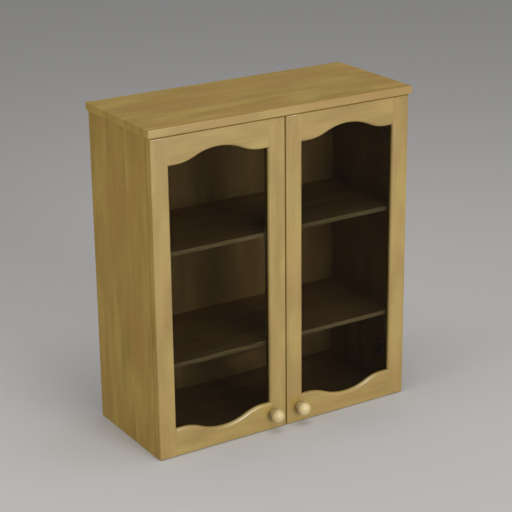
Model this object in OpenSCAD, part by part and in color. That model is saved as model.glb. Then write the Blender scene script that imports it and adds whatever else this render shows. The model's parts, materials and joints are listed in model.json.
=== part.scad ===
// Wall cabinet with two glazed doors, a projecting cap and two loose shelves.
// X runs across the front, +Y points into the wall, +Z is up.
// The origin is the middle of the line of wall fixings, in the wall's face.

/* [Case] */
// Width across the two sides
case_w = 650; // [500:5:900]
// Height of the sides, from the bottom edge to the cap
case_h = 723; // [640:1:960]
// Depth of the sides, from the wall to their front edges
case_d = 255; // [220:1:360]
// Thickness of the sides, top and bottom
board = 18; // [16:0.5:22]
// Thickness of the back panel
back_t = 8; // [6:0.5:10]
// How far the back panel reaches into each side
back_lap = 10; // [8:0.5:12]
// Radius that eases the front edges of the boards
board_ease = 1; // [0.5:0.1:2]

/* [Cap] */
// Thickness of the cap
cap_t = 18; // [16:0.5:30]
// Overhang of the cap past each side
cap_side = 6; // [0:0.5:30]
// Overhang of the cap past the door fronts
cap_front = 4; // [0:0.5:30]
// Radius of the cap's front and side edges
cap_ease = 2; // [0.5:0.1:6]

/* [Wall fixing] */
// Height of the hanging rail
rail_h = 80; // [60:1:120]
// Thickness of the hanging rail
rail_t = 18; // [12:0.5:25]
// Distance between the two wall fixing holes
fixing_span = 500; // [300:5:540]
// Diameter of the wall fixing holes
fixing_d = 6; // [4:0.1:8]

/* [Shelves] */
// Height of the lower shelf's top face
lower_shelf_z = 209; // [180:0.5:260]
// Height of the upper shelf's top face
upper_shelf_z = 463.5; // [400:0.5:500]
// Thickness of a shelf
shelf_t = 10; // [8:0.5:22]
// How far a shelf's front edge lies behind the case's front edge
shelf_set = 1; // [1:0.5:30]
// Gap between a shelf and each side
shelf_gap = 1.5; // [1.2:0.1:3]
// Diameter of a shelf pin
pin_d = 5; // [4:0.5:6]
// Length of a shelf pin inside the side
pin_in = 9; // [6:0.5:11]
// Length of a shelf pin under the shelf
pin_out = 9; // [6:0.5:14]
// Distance between neighbouring shelf pin holes
pin_pitch = 32; // [20:1:40]
// Distance of each column of holes from the front edge or the back panel
pin_edge = 37; // [30:1:50]

/* [Doors] */
// Thickness of the door frames
door_t = 20; // [18:0.5:24]
// Gap between the case and the backs of the doors
door_gap = 1; // [0.8:0.1:1.6]
// Gap between the two doors
doors_apart = 2; // [1.5:0.1:6]
// Gap between the door tops and the cap
head_gap = 2; // [1:0.5:6]
// Height of the door bottoms above the case's bottom edge
foot_gap = 1; // [0:0.5:6]
// Width of the stiles
stile_w = 42; // [41.5:0.5:70]
// Depth of the top rail at the window's corners
top_rail_h = 63.5; // [58:0.5:90]
// Depth of the bottom rail at the window's corners
bottom_rail_h = 65; // [65:0.5:100]
// Radius of the doors' front edges
door_ease = 3; // [1:0.5:7]
// Radius of the doors' back edge beside the hinges
heel_ease = 0.8; // [0.4:0.1:1.5]

/* [Window] */
// Rise of the curved rail edges, from corner to crest
ogee_rise = 23.5; // [10:0.5:23.5]
// Straight stretch of a rail's edge at each corner
ogee_flat = 17; // [8:0.5:30]
// Radius of the crest
crest_r = 134; // [60:1:134]
// Radius of the round on the window's front edge
mould_r = 6; // [2:0.5:7]
// Thickness of the wood in front of the glass
lip_t = 8; // [7:0.5:11]
// Thickness of the glass
glass_t = 4; // [3:0.5:5]
// How far the glass reaches behind the wood
glass_lap = 5; // [3:0.5:5]
// Gap round the edges of the glass
glass_gap = 1; // [0.5:0.1:2]
// Thickness of the rail tenons
tenon_t = 6; // [4:0.5:8]
// Length of the rail tenons
tenon_l = 25; // [10:0.5:30]
// Shoulder above and below each tenon
tenon_set = 8; // [4:0.5:9]

/* [Knobs] */
// Diameter of a knob
knob_d = 31; // [28:0.5:36]
// Length of a knob from the door front to its crown
knob_len = 31; // [30.5:0.5:36]
// Distance of the widest ring of a knob's head from the door front
knob_mid = 18.5; // [14:0.5:19]
// Radius of the round that runs about a knob's head
knob_rim_r = 11; // [6:0.5:11.5]
// Radius of a knob's neck
knob_neck_r = 7; // [5:0.5:9]
// Distance of a knob's centre from the door's meeting edge
knob_in = 34; // [24:0.5:34]
// Height of a knob's centre above the door's bottom edge
knob_up = 38; // [34:0.5:50]

/* [Hinges] */
// Distance of each hinge from the door's top or bottom edge
hinge_in = 96; // [80:1:130]
// Diameter of the cup let into the door
cup_d = 26; // [25:0.5:27]
// Wood left between the cup and the door's edge
cup_edge = 3.5; // [3:0.1:4]
// Depth of the cup
cup_depth = 14.5; // [14:0.1:15]
// Distance of the hinge pin from the case's outer face
pivot_in = 9; // [8.5:0.1:9.5]
// Distance of the hinge pin in front of the case's front edge
pivot_out = 11; // [10.8:0.1:11.5]
// Diameter of the hinge pin
pivot_d = 3; // [2.5:0.1:3.5]
// Thickness of the arm
arm_t = 2.5; // [2:0.1:2.6]
// Width of the arm where it enters the cup
arm_w = 9; // [7:0.5:9]
// Width of the arm on its plate
arm_foot_w = 14; // [12:0.5:18]
// Length of the arm behind the case's front edge
arm_l = 54; // [50:1:70]
// Thickness of the mounting plate
plate_t = 3; // [3:0.1:4]
// Distance between a mounting plate's two wood screws
plate_span = 32; // [28:1:40]
// Length of the flange beyond the cup's screws
flange_l = 48; // [44:1:56]

/* [Hidden] */
$fn = 48;
LEFT = -1;
RIGHT = 1;
// Overshoot of a cut past the face that it opens
cut = 1;
// Radial clearance of a screw, dowel or shelf pin in its hole
snug_gap = 0.05;
// Gap between a tenon, bead or back panel and the wood round it
joint_gap = 0.1;
// Gap between parts of two bodies that nearly touch when a door is shut
shut_gap = 0.3;

// Colours
WOOD = [0.66, 0.57, 0.36];
WOOD_DARK = [0.54, 0.44, 0.25];
STEEL = [0.72, 0.72, 0.70];
GLASS = [0.55, 0.55, 0.52, 0.4];
PLASTIC = [0.93, 0.92, 0.88];

// Case sizes that follow from the driving ones
inner_w = case_w - 2 * board;
fixing_z = case_h - board - rail_h / 2;
panel_d = case_d - back_t;
back_w = inner_w + 2 * back_lap;
shelf_w = inner_w - 2 * shelf_gap;
shelf_d = panel_d - shelf_set - joint_gap;
pin_front_y = -case_d + pin_edge;
pin_rear_y = -back_t - pin_edge;
pin_rows = [-pin_pitch, 0, pin_pitch];

// Dowels in the corners of the case and in the hanging rail
dowel_d = 8;
dowel_in_side = 12;
dowel_in_panel = 22;
dowel_end_gap = 1;
dowel_ys = [-0.16, -0.5, -0.84] * case_d;
rail_dowel_z = [-0.3, 0.3] * rail_h;

// Catch and bumpers
catch_w = 64;
catch_h = 12;
catch_d = 16;
catch_set = 1;
catch_z = case_h - board - catch_h / 2;
catch_screw_x = 9;
magnet_x = 20;
magnet_d = 8;
magnet_l = 11;
strike_d = 16;
strike_t = 0.8;
bumper_d = 8;
bumper_in = 12;

// Depth of wood left past a screw's point, and how far a screw bites past a joint
screw_stop = 5;
screw_bite = 12;
// Screws, each as [shank diameter, head diameter, head height, length]
CAP_SCREW = [4, 8, 2.4, board + cap_t - screw_stop];
BACK_SCREW = [3, 6, 1.8, back_t + screw_bite];
PLATE_SCREW = [3.5, 7, 2.1, plate_t + board - screw_stop];
CUP_SCREW = [3.5, 6.5, 1.8, screw_bite];
ARM_SCREW = [4, 7, 2.2, arm_t + plate_t - shut_gap];
CATCH_SCREW = [3, 6, 1.8, catch_h + board - screw_stop];
STRIKE_SCREW = [3, 5.6, 1.3, strike_t + (door_t - tenon_t) / 2 - dowel_end_gap];
KNOB_SCREW = [4, 8, 2.4, door_t + screw_bite];
cap_screw_x = [-0.36, 0, 0.36] * inner_w;
cap_screw_y = [-0.25, -0.75] * case_d;
back_screw_z = [0.08, 0.36, 0.64, 0.92] * case_h;
back_screw_x = [-0.33, 0, 0.33] * inner_w;

// Door sizes
door_w = (case_w - doors_apart) / 2;
door_h = case_h - head_gap - foot_gap;
window_w = door_w - 2 * stile_w;
window_lo = bottom_rail_h;
window_hi = door_h - top_rail_h;
ogee_half = window_w / 2 - ogee_flat;
// The two arcs' radii add up to a sum that follows from the run and the rise
ogee_sum = (ogee_half * ogee_half + ogee_rise * ogee_rise) / (2 * ogee_rise);
// The shoulders keep room for their rounded edge, however large the crest's radius
crest_arc_r = min(crest_r, ogee_sum - 4 * mould_r);
// The shoulder's radius is a whole number of these steps, so that it is handed on exactly
ogee_step = 0.001;
shoulder_r = ogee_step * round((ogee_sum - crest_arc_r) / ogee_step);
ogee_tilt = asin(ogee_half / (crest_arc_r + shoulder_r));
// The curve's lowest point lies just past the straight stretch, so that the two cross
ogee_dip = 0.02;
ogee_lap = 8;
rebate_lo = window_lo - ogee_rise - glass_lap;
rebate_hi = window_hi + ogee_rise + glass_lap;
rebate_w = window_w + 2 * glass_lap;
bead_t = door_t - lip_t - glass_t;

// Hinges
hinge_zs = [foot_gap + hinge_in, foot_gap + door_h - hinge_in];
cup_x = cup_edge + cup_d / 2;
cup_wall = 1;
cup_floor = 1;
lug_gap = 0.3;
lug_front = 4;
pivot_wall = 1.5;
pivot_eye_r = pivot_d / 2 + pivot_wall;
pivot_l = 17;
pivot_run = 0.05;
pivot_hold = 0.02;
flange_t = 1.2;
flange_w = 14;
flange_r = 5;
cup_screw_in = 5;
cup_screw_z = flange_l / 2 - cup_screw_in;
arm_x = board + plate_t;
arm_bend = 0.5;
arm_foot_y = 6;
arm_r = 3;
arm_screw_in = 8;
arm_screw_span = 18;
arm_screw_ys = [arm_l - arm_screw_in - arm_screw_span, arm_l - arm_screw_in];
plate_lead = 6;
plate_tail = 3;
plate_margin = 8;
plate_r = 6;
plate_y0 = arm_screw_ys[0] - plate_lead;
plate_l = arm_l + plate_tail - plate_y0;
plate_h = plate_span + 2 * plate_margin;
plate_screw_y = pin_edge;
// Path of a door's heel about its hinge pin
heel = [pivot_in - heel_ease, pivot_out - door_gap - heel_ease];
heel_path_r = norm(heel) + heel_ease;

// Small rounds and collars
catch_r = 2;
bead_r = 2;
knob_collar_w = 2;
knob_collar_t = 2.5;
knob_collar_r = 1.5;
pin_collar_w = 1.5;
pin_collar_t = 1;

// Places

module case_frame() {
    translate([0, 0, -fixing_z]) children();
}

module flip(side) {
    mirror([side == RIGHT ? 1 : 0, 0, 0]) children();
}

// Local frame of a door: x from its hinge edge, y forward of its back, z from its bottom
module door_frame(side) {
    case_frame() flip(side) translate([-case_w / 2, -case_d - door_gap, foot_gap]) children();
}

// Local frame of each hinge: x from the case's outer face, y from its front edge
module each_hinge(sides) {
    case_frame()
        for (side = sides, z = hinge_zs)
            flip(side) translate([-case_w / 2, -case_d, z]) children();
}

// Turns an outline drawn in X and Z into a board whose thickness runs along +Y
module upright(thick) {
    translate([0, thick, 0]) rotate([90, 0, 0]) linear_extrude(thick) children();
}

// Turns an outline drawn in Y and Z into a bar that runs along +X
module along_x(len) {
    rotate([90, 0, 90]) linear_extrude(len) children();
}

// Outlines

// Square of w by h with any of its four corners rounded: [low left, low right, high right, high left]
module soft_square(w, h, r, corners) {
    places = [[0, 0], [w, 0], [w, h], [0, h]];
    inward = [[1, 1], [-1, 1], [-1, -1], [1, -1]];
    difference() {
        square([w, h]);
        for (i = [0:3])
            if (corners[i] == 1)
                difference() {
                    translate(places[i]) square(2 * r, center = true);
                    translate(places[i] + r * inward[i]) circle(r);
                }
    }
}

// Fasteners: each points along +Z, with the top of its head at z = 0

module countersunk(screw, grow = 0) {
    shank_r = screw[0] / 2 + grow;
    head_r = screw[1] / 2 + grow;
    translate([0, 0, -screw[3] - grow]) cylinder(r = shank_r, h = screw[3] + grow);
    translate([0, 0, -screw[2]]) cylinder(r1 = shank_r, r2 = head_r, h = screw[2]);
}

module countersunk_hole(screw) {
    countersunk(screw, snug_gap);
    cylinder(d = screw[1] + 2 * snug_gap, h = cut);
}

// Pan head on a shank; its seat is at z = 0
module pan_head(screw) {
    translate([0, 0, -screw[3]]) cylinder(d = screw[0], h = screw[3]);
    cylinder(d1 = screw[1], d2 = 0.7 * screw[1], h = screw[2]);
}

module pan_hole(screw) {
    translate([0, 0, -screw[3] - cut]) cylinder(d = screw[0] + 2 * snug_gap, h = screw[3] + 2 * cut);
}

// Case boards

module at_dowels() {
    for (z = [board / 2, case_h - board / 2], y = dowel_ys)
        translate([inner_w / 2, y, z]) rotate([0, 90, 0]) children();
}

module at_rail_dowels() {
    for (z = rail_dowel_z)
        translate([inner_w / 2, -back_t - rail_t / 2, fixing_z + z]) rotate([0, 90, 0]) children();
}

module dowel(grow = 0, end = 0) {
    translate([0, 0, -dowel_in_panel - end])
        cylinder(r = dowel_d / 2 + grow, h = dowel_in_panel + dowel_in_side + 2 * end);
}

// Every pin hole of one side, as points on the inner face of the right side
module at_pins(rows) {
    for (top = [lower_shelf_z, upper_shelf_z], row = rows, y = [pin_front_y, pin_rear_y])
        translate([inner_w / 2, y, top - shelf_t - pin_d / 2 + row]) rotate([0, 90, 0]) children();
}

module at_plate_screws() {
    for (z = hinge_zs, dz = [-plate_span / 2, plate_span / 2])
        translate([inner_w / 2 - plate_t, -case_d + plate_screw_y, z + dz])
            rotate([0, -90, 0]) children();
}

// Screws that hold the back panel to one side
module at_side_back_screws() {
    for (z = back_screw_z)
        translate([(inner_w + back_lap) / 2, 0, z]) rotate([-90, 0, 0]) children();
}

// Screws that hold the back panel to the top and bottom
module at_panel_back_screws() {
    for (z = [board / 2, case_h - board / 2], x = back_screw_x)
        translate([x, 0, z]) rotate([-90, 0, 0]) children();
}

// A side with its holes, and the hollow in its front edge that a door's heel turns through
module side_board(side) {
    case_frame() flip(side == LEFT ? RIGHT : LEFT)
        difference() {
            translate([inner_w / 2, -case_d, 0])
                linear_extrude(case_h) soft_square(board, case_d, board_ease, [1, 1, 0, 0]);
            translate([inner_w / 2 - cut, -back_t, -cut])
                cube([back_lap + joint_gap + cut, back_t + cut, case_h + 2 * cut]);
            at_dowels() dowel(snug_gap, dowel_end_gap);
            at_rail_dowels() dowel(snug_gap, dowel_end_gap);
            at_pins(pin_rows)
                translate([0, 0, -cut]) cylinder(r = pin_d / 2 + snug_gap, h = pin_in + cut + dowel_end_gap);
            at_plate_screws() countersunk_hole(PLATE_SCREW);
            at_side_back_screws() countersunk_hole(BACK_SCREW);
            translate([case_w / 2 - pivot_in, -case_d - pivot_out, -cut])
                cylinder(r = heel_path_r + shut_gap, h = case_h + 2 * cut, $fn = 96);
        }
}

module side_left() {
    color(WOOD_DARK) side_board(LEFT);
}

module side_right() {
    color(WOOD_DARK) side_board(RIGHT);
}

module both_sides() {
    for (side = [LEFT, RIGHT])
        flip(side) children();
}

// A panel between the sides, bored for the dowels in both ends
module cross_panel() {
    difference() {
        translate([-inner_w / 2, -case_d, 0])
            along_x(inner_w) soft_square(panel_d, board, board_ease, [1, 0, 0, 1]);
        children();
    }
}

module bottom_panel() {
    color(WOOD) case_frame()
        cross_panel() {
            both_sides() at_dowels() dowel(snug_gap, dowel_end_gap);
            at_panel_back_screws() countersunk_hole(BACK_SCREW);
        }
}

module at_cap_screws() {
    for (x = cap_screw_x, y = cap_screw_y)
        translate([x, y, case_h - board]) rotate([180, 0, 0]) children();
}

module at_catch_screws() {
    for (x = [-catch_screw_x, catch_screw_x])
        translate([x, -case_d + catch_set + catch_d / 2, case_h - board - catch_h])
            rotate([180, 0, 0]) children();
}

module top_panel() {
    color(WOOD) case_frame()
        difference() {
            translate([0, 0, case_h - board])
                cross_panel()
                    translate([0, 0, board - case_h]) {
                        both_sides() at_dowels() dowel(snug_gap, dowel_end_gap);
                        at_panel_back_screws() countersunk_hole(BACK_SCREW);
                    }
            at_cap_screws() countersunk_hole(CAP_SCREW);
            at_catch_screws() countersunk_hole(CATCH_SCREW);
        }
}

// Board with its two sides and its front eased along top and bottom
module cap() {
    cap_w = case_w + 2 * cap_side;
    cap_d = case_d + door_gap + door_t + cap_front;
    color(WOOD) case_frame()
        difference() {
            translate([0, -cap_d, case_h])
                intersection() {
                    translate([-cap_w / 2, 0, 0])
                        upright(cap_d) soft_square(cap_w, cap_t, cap_ease, [1, 1, 1, 1]);
                    translate([-cap_w / 2, 0, 0])
                        along_x(cap_w) soft_square(cap_d, cap_t, cap_ease, [1, 0, 0, 1]);
                }
            at_cap_screws() countersunk_hole(CAP_SCREW);
        }
}

module at_fixings() {
    for (x = [-fixing_span / 2, fixing_span / 2])
        translate([x, 0, fixing_z]) rotate([90, 0, 0]) children();
}

module fixing_hole() {
    translate([0, 0, -cut]) cylinder(d = fixing_d, h = back_t + rail_t + 2 * cut);
}

module back_panel() {
    color(WOOD) case_frame()
        difference() {
            translate([-back_w / 2, -back_t, 0]) cube([back_w, back_t, case_h]);
            at_fixings() fixing_hole();
            both_sides() at_side_back_screws() countersunk_hole(BACK_SCREW);
            at_panel_back_screws() countersunk_hole(BACK_SCREW);
        }
}

module hanging_rail() {
    color(WOOD) case_frame()
        difference() {
            translate([-inner_w / 2, -back_t - rail_t, fixing_z - rail_h / 2])
                along_x(inner_w) soft_square(rail_t, rail_h, board_ease, [1, 0, 0, 0]);
            at_fixings() fixing_hole();
            both_sides() at_rail_dowels() dowel(snug_gap, dowel_end_gap);
        }
}

module shelf(top) {
    color(WOOD) case_frame()
        translate([-shelf_w / 2, -case_d + shelf_set, top - shelf_t])
            along_x(shelf_w) soft_square(shelf_d, shelf_t, board_ease, [1, 0, 0, 1]);
}

module shelf_lower() {
    shelf(lower_shelf_z);
}

module shelf_upper() {
    shelf(upper_shelf_z);
}

module shelf_pins() {
    color(STEEL) case_frame()
        both_sides()
            at_pins([0]) {
                translate([0, 0, -pin_out]) cylinder(d = pin_d, h = pin_out + pin_in);
                translate([0, 0, -pin_collar_t]) cylinder(d = pin_d + 2 * pin_collar_w, h = pin_collar_t);
            }
}

module case_dowels() {
    color(WOOD) case_frame() both_sides() at_dowels() dowel();
}

module rail_dowels() {
    color(WOOD) case_frame() both_sides() at_rail_dowels() dowel();
}

module cap_screws() {
    color(STEEL) case_frame() at_cap_screws() countersunk(CAP_SCREW);
}

module back_screws() {
    color(STEEL) case_frame() {
        both_sides() at_side_back_screws() countersunk(BACK_SCREW);
        at_panel_back_screws() countersunk(BACK_SCREW);
    }
}

// Hinges

module hinge_plates() {
    color(STEEL) each_hinge([LEFT, RIGHT])
        difference() {
            translate([board, plate_y0, -plate_h / 2])
                along_x(plate_t) soft_square(plate_l, plate_h, plate_r, [1, 1, 1, 1]);
            for (dz = [-plate_span / 2, plate_span / 2])
                translate([board + plate_t, plate_screw_y, dz])
                    rotate([0, 90, 0]) countersunk_hole(PLATE_SCREW);
            at_arm_screws() pan_hole(ARM_SCREW);
        }
}

module plate_screws() {
    color(STEEL) case_frame() both_sides() at_plate_screws() countersunk(PLATE_SCREW);
}

module at_arm_screws() {
    for (y = arm_screw_ys)
        translate([arm_x + arm_t, y, 0]) rotate([0, 90, 0]) children();
}

// Plan of the arm: an eye on the pin, a leg across the cup, a bend and a leg into the case
module arm_plan() {
    bend_r = arm_t + arm_bend;
    bend = [arm_x - arm_bend, -pivot_out - arm_t / 2 + bend_r];
    translate([pivot_in, -pivot_out]) circle(pivot_eye_r);
    translate([pivot_in, -pivot_out - arm_t / 2]) square([bend[0] - pivot_in, arm_t]);
    intersection() {
        translate(bend)
            difference() {
                circle(bend_r);
                circle(arm_bend);
            }
        translate([bend[0], bend[1] - bend_r]) square(bend_r);
    }
    translate([arm_x, bend[1]]) square([arm_t, arm_l - bend[1]]);
}

module hinge_arms() {
    color(STEEL) each_hinge([LEFT, RIGHT])
        difference() {
            union() {
                translate([0, 0, -arm_w / 2]) linear_extrude(arm_w) arm_plan();
                translate([arm_x, arm_foot_y, -arm_foot_w / 2])
                    along_x(arm_t) soft_square(arm_l - arm_foot_y, arm_foot_w, arm_r, [1, 1, 1, 1]);
            }
            translate([pivot_in, -pivot_out, -arm_w / 2 - cut])
                cylinder(r = pivot_d / 2 + pivot_run, h = arm_w + 2 * cut);
            at_arm_screws() pan_hole(ARM_SCREW);
        }
}

module arm_screws() {
    color(STEEL) each_hinge([LEFT, RIGHT]) at_arm_screws() pan_head(ARM_SCREW);
}

// A round cut into the door's back, as deep as the cup or its inside
module cup_round(r, deep) {
    translate([cup_x, cut - door_gap, 0]) rotate([90, 0, 0]) cylinder(r = r, h = deep + cut);
}

// The flange, which lies flush in the door's back, or the seat cut for it
module flange_plate(grow = 0, over = 0) {
    translate([cup_x - flange_w / 2 - grow, -door_gap - flange_t, -flange_l / 2 - grow])
        upright(flange_t + over)
            soft_square(flange_w + 2 * grow, flange_l + 2 * grow, flange_r + grow, [1, 1, 1, 1]);
}

module at_cup_screws() {
    for (z = [-cup_screw_z, cup_screw_z])
        translate([cup_x, -door_gap, z]) rotate([-90, 0, 0]) children();
}

module pivot_pin(grow, len) {
    translate([pivot_in, -pivot_out, -len / 2]) cylinder(r = pivot_d / 2 + grow, h = len);
}

module hinge_cups(side) {
    lug_z = arm_w / 2 + lug_gap;
    color(STEEL) each_hinge([side])
        difference() {
            union() {
                difference() {
                    translate([cup_x, -door_gap, 0])
                        rotate([90, 0, 0]) cylinder(d = cup_d, h = cup_depth);
                    cup_round(cup_d / 2 - cup_wall, cup_depth - cup_floor);
                }
                intersection() {
                    translate([cup_x, -door_gap, 0])
                        rotate([90, 0, 0]) cylinder(d = cup_d - cup_wall, h = cup_depth);
                    for (z = [lug_z, -lug_z - cup_d / 2])
                        translate([0, -door_gap - cup_depth, z])
                            cube([pivot_in + lug_front, cup_depth - (pivot_out - door_gap) + lug_front, cup_d / 2]);
                }
                difference() {
                    flange_plate();
                    cup_round(cup_d / 2 - cup_wall, cup_depth / 2);
                }
            }
            pivot_pin(pivot_hold, pivot_l + 2 * pivot_hold);
            at_cup_screws() countersunk_hole(CUP_SCREW);
        }
}

module hinge_cups_left() {
    hinge_cups(LEFT);
}

module hinge_cups_right() {
    hinge_cups(RIGHT);
}

module hinge_pins(side) {
    color(STEEL) each_hinge([side]) pivot_pin(0, pivot_l);
}

module hinge_pins_left() {
    hinge_pins(LEFT);
}

module hinge_pins_right() {
    hinge_pins(RIGHT);
}

module cup_screws(side) {
    color(STEEL) each_hinge([side]) at_cup_screws() countersunk(CUP_SCREW);
}

module cup_screws_left() {
    cup_screws(LEFT);
}

module cup_screws_right() {
    cup_screws(RIGHT);
}

// Door frames

// The whole door as one board, with its front edges rounded and its heel eased
module door_blank() {
    intersection() {
        linear_extrude(door_h)
            translate([0, -door_t])
                intersection() {
                    soft_square(door_w, door_t, door_ease, [1, 1, 0, 0]);
                    soft_square(door_w, door_t, heel_ease, [0, 0, 0, 1]);
                }
        along_x(door_w)
            translate([-door_t, 0]) soft_square(door_t, door_h, door_ease, [1, 0, 0, 1]);
    }
}

// Section of an opening whose walls lie r from its middle, with its front edge rounded over
module flared_section(r) {
    translate([0, -cut]) square([r, door_t + 2 * cut]);
    difference() {
        translate([0, -cut]) square([r + mould_r, mould_r + cut]);
        translate([r + mould_r, mould_r]) circle(mould_r);
    }
}

// Section of a round of wood, r in radius, with its front edge rounded over
module rounded_section(r) {
    translate([0, mould_r]) square([r, door_t - mould_r + 2 * cut]);
    translate([0, -2 * cut]) square([r - mould_r, door_t]);
    intersection() {
        translate([r - mould_r, 0]) square(mould_r);
        translate([r - mould_r, mould_r]) circle(mould_r);
    }
}

// Turns a section drawn as radius and depth about an axis along +Y
module turned() {
    rotate([-90, 0, 0]) rotate_extrude($fn = 96) children();
}

// One half of the ogee cut, from the crest at x = 0 to the end of the shoulder.
// In the tilted frame, whose origin is the shoulder's centre, the two arcs meet at x = 0.
module half_ogee() {
    span = crest_arc_r + shoulder_r;
    depth = door_t + 2 * cut;
    intersection() {
        translate([0, -cut, -mould_r]) cube([ogee_half, depth, ogee_rise + 3 * mould_r]);
        translate([ogee_half, 0, shoulder_r - ogee_dip]) rotate([0, ogee_tilt, 0]) {
            difference() {
                translate([0, -cut, -span]) cube([span, depth, span]);
                turned() rounded_section(shoulder_r);
            }
            translate([0, 0, -span])
                intersection() {
                    translate([-span, -cut, 0]) cube([span, depth, span]);
                    turned() flared_section(crest_arc_r);
                }
        }
    }
}

// Everything that the window takes out of the door, in the door's local frame
module window_cut() {
    window_h = window_hi - window_lo;
    translate([door_w / 2, -door_t, 0]) {
        translate([-window_w / 2 + mould_r, -cut, window_lo + mould_r / 2])
            cube([window_w - 2 * mould_r, door_t + 2 * cut, window_h - mould_r]);
        for (hand = [0, 1])
            mirror([hand, 0, 0]) {
                intersection() {
                    linear_extrude(door_h) flared_section(window_w / 2);
                    translate([ogee_half - ogee_lap, 0, (window_lo + window_hi) / 2])
                        for (end = [0, 1])
                            mirror([0, 0, end]) along_x(door_w / 2) mirror([1, -1]) flared_section(window_h / 2);
                }
                for (end = [[window_hi, 0], [window_lo, 1]])
                    translate([0, 0, end[0]]) mirror([0, 0, end[1]]) half_ogee();
            }
        translate([-rebate_w / 2, lip_t, rebate_lo])
            cube([rebate_w, door_t - lip_t + cut, rebate_hi - rebate_lo]);
    }
}

// Tenons at both ends of both rails, grown by a gap where they are cut out of a stile
module tenons(gap) {
    for (span = [[tenon_set, rebate_lo - tenon_set], [rebate_hi + tenon_set, door_h - tenon_set]])
        translate([stile_w - tenon_l - gap, -(door_t + tenon_t) / 2 - gap, span[0] - gap])
            cube([window_w + 2 * (tenon_l + gap), tenon_t + 2 * gap, span[1] - span[0] + 2 * gap]);
}

module at_knob() {
    translate([door_w - knob_in, 0, knob_up]) rotate([-90, 0, 0]) children();
}

module at_strike() {
    translate([door_w + doors_apart / 2 - magnet_x, strike_t, catch_z - foot_gap])
        rotate([-90, 0, 0]) children();
}

module hinge_stile(side) {
    color(WOOD) difference() {
        door_frame(side)
            difference() {
                intersection() {
                    door_blank();
                    translate([0, -door_t, 0]) cube([stile_w, door_t, door_h]);
                }
                window_cut();
                tenons(joint_gap);
            }
        each_hinge([side]) {
            cup_round(cup_d / 2 + snug_gap, cup_depth + snug_gap);
            flange_plate(joint_gap, cut);
            at_cup_screws() countersunk_hole(CUP_SCREW);
        }
    }
}

module meeting_stile(side) {
    color(WOOD) door_frame(side)
        difference() {
            intersection() {
                door_blank();
                translate([door_w - stile_w, -door_t, 0]) cube([stile_w, door_t, door_h]);
            }
            window_cut();
            tenons(joint_gap);
            at_knob() pan_hole(KNOB_SCREW);
            at_strike() countersunk_hole(STRIKE_SCREW);
        }
}

// A rail is the part of the door between the stiles, with a tenon on each end
module rail(side, z0, z1) {
    color(WOOD) door_frame(side)
        union() {
            difference() {
                intersection() {
                    door_blank();
                    translate([stile_w, -door_t, z0]) cube([window_w, door_t, z1 - z0]);
                }
                window_cut();
            }
            intersection() {
                tenons(0);
                translate([0, -door_t, z0]) cube([door_w, door_t, z1 - z0]);
            }
        }
}

module top_rail(side) {
    rail(side, window_hi - mould_r, door_h);
}

module bottom_rail(side) {
    rail(side, 0, window_lo + mould_r);
}

module glass(side) {
    color(GLASS) door_frame(side)
        translate([(door_w - rebate_w) / 2 + glass_gap, lip_t - door_t, rebate_lo + glass_gap])
            cube([rebate_w - 2 * glass_gap, glass_t, rebate_hi - rebate_lo - 2 * glass_gap]);
}

// The two upright beads that hold the glass
module side_beads(side) {
    bead_w = glass_lap - joint_gap;
    color(WOOD) door_frame(side)
        for (hand = [0, 1])
            translate([door_w / 2, -bead_t, rebate_lo + joint_gap])
                mirror([hand, 0, 0])
                    translate([window_w / 2, 0, 0])
                        linear_extrude(rebate_hi - rebate_lo - 2 * joint_gap)
                            soft_square(bead_w, bead_t, bead_r, [0, 0, 0, 1]);
}

// The two level beads, which reach behind the lowest and highest points of the curves
module end_beads(side) {
    bead_w = glass_lap - joint_gap;
    color(WOOD) door_frame(side)
        for (end = [[rebate_lo + joint_gap, 0], [rebate_hi - joint_gap, 1]])
            translate([(door_w - window_w) / 2 + joint_gap, -bead_t, end[0]])
                mirror([0, 0, end[1]])
                    along_x(window_w - 2 * joint_gap)
                        soft_square(bead_t, bead_w, bead_r, [0, 0, 1, 0]);
}

// Half of the knob's section: a collar, a neck and a round head that runs on into a domed crown
module knob_outline() {
    intersection() {
        square([knob_d, knob_len]);
        knob_rounds();
    }
    square([knob_neck_r, knob_mid]);
    soft_square(knob_neck_r + knob_collar_w, knob_collar_t, knob_collar_r, [0, 0, 1, 0]);
}

// The rounds of a knob's head, drawn whole about its axis
module knob_rounds() {
    rim = [knob_d / 2 - knob_rim_r, knob_mid];
    rise = knob_len - knob_mid;
    // Radius at which the dome meets the rim without a corner
    dome_r = (rim[0] * rim[0] + rise * rise - knob_rim_r * knob_rim_r) / (2 * (rise - knob_rim_r));
    dome = [0, knob_len - dome_r];
    seam = rim + dome_r * (rim - dome) / norm(rim - dome);
    translate(rim) circle(knob_rim_r);
    translate([0, rim[1] - knob_rim_r]) square([rim[0], knob_rim_r]);
    intersection() {
        translate(dome) circle(dome_r, $fn = 96);
        polygon([[0, rim[1]], rim, seam, [0, seam[1] + knob_len]]);
    }
}

module knob(side) {
    color(WOOD) door_frame(side)
        translate([0, -door_t, 0])
            at_knob() rotate([180, 0, 0])
                difference() {
                    rotate_extrude($fn = 64) knob_outline();
                    translate([0, 0, -cut])
                        cylinder(d = KNOB_SCREW[0] + 2 * snug_gap, h = KNOB_SCREW[3] - door_t + 2 * cut);
                }
}

module knob_screw(side) {
    color(STEEL) door_frame(side) at_knob() pan_head(KNOB_SCREW);
}

// Buffers on the door's back, opposite the edges of the top and bottom panels
module bumpers(side) {
    color(PLASTIC) door_frame(side)
        for (z = [board / 2, case_h - board / 2])
            translate([door_w - bumper_in, 0, z - foot_gap])
                rotate([-90, 0, 0]) cylinder(d = bumper_d, h = door_gap - shut_gap);
}

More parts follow.
